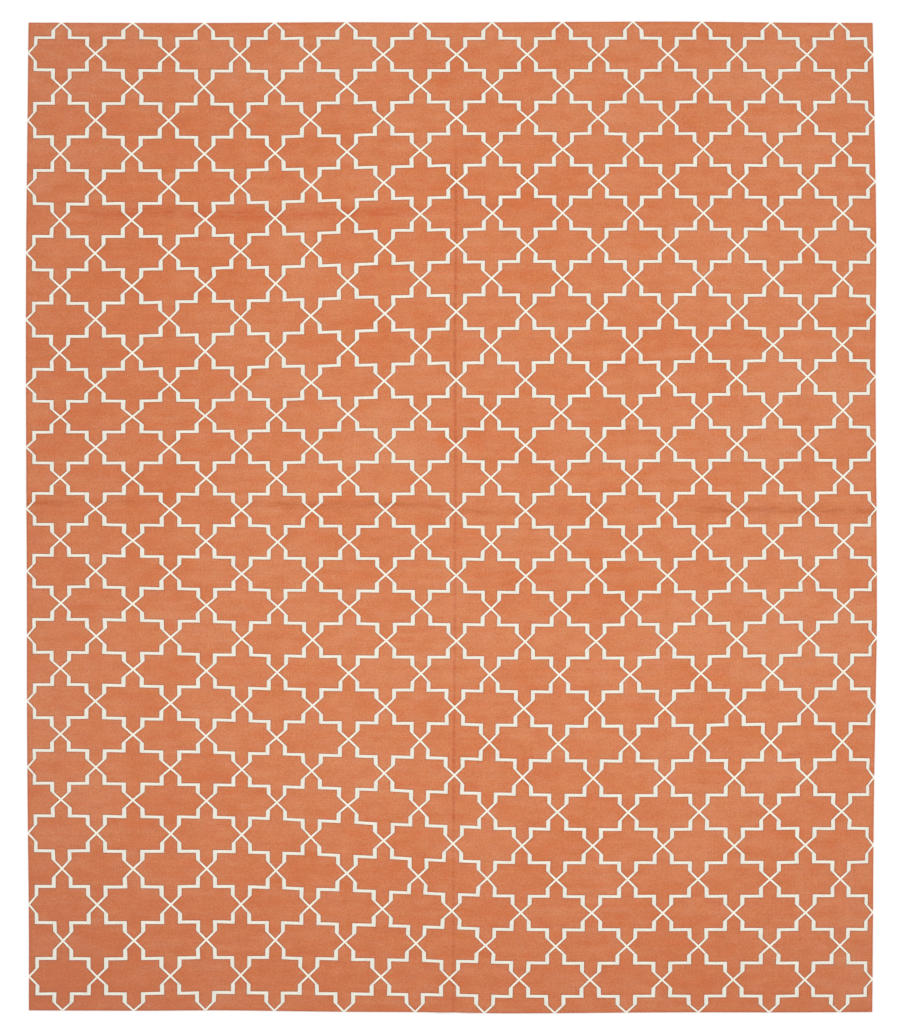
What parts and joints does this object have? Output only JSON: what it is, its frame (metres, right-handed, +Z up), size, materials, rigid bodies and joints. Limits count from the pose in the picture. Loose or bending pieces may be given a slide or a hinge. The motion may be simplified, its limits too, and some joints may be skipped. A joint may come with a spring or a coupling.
{
  "type": "kilim rug",
  "caption": "Large flat-woven rug with plain edges and an ecru star trellis on a terracotta ground, lying flat on the floor with faint fold marks.",
  "frame": {"origin": "on the floor, under the middle of the rug", "axes": "+X across the rug, towards its right edge with the face up; +Y along it, towards its far end; +Z up, out of its face"},
  "size_m": [2.5999, 3.0298, 0.0057],
  "materials": {
    "woven_wool": "matte terracotta flat weave with an ecru star trellis"
  },
  "bodies": {
    "root": {"woven_panel": "woven_wool"}
  },
  "joints": []
}
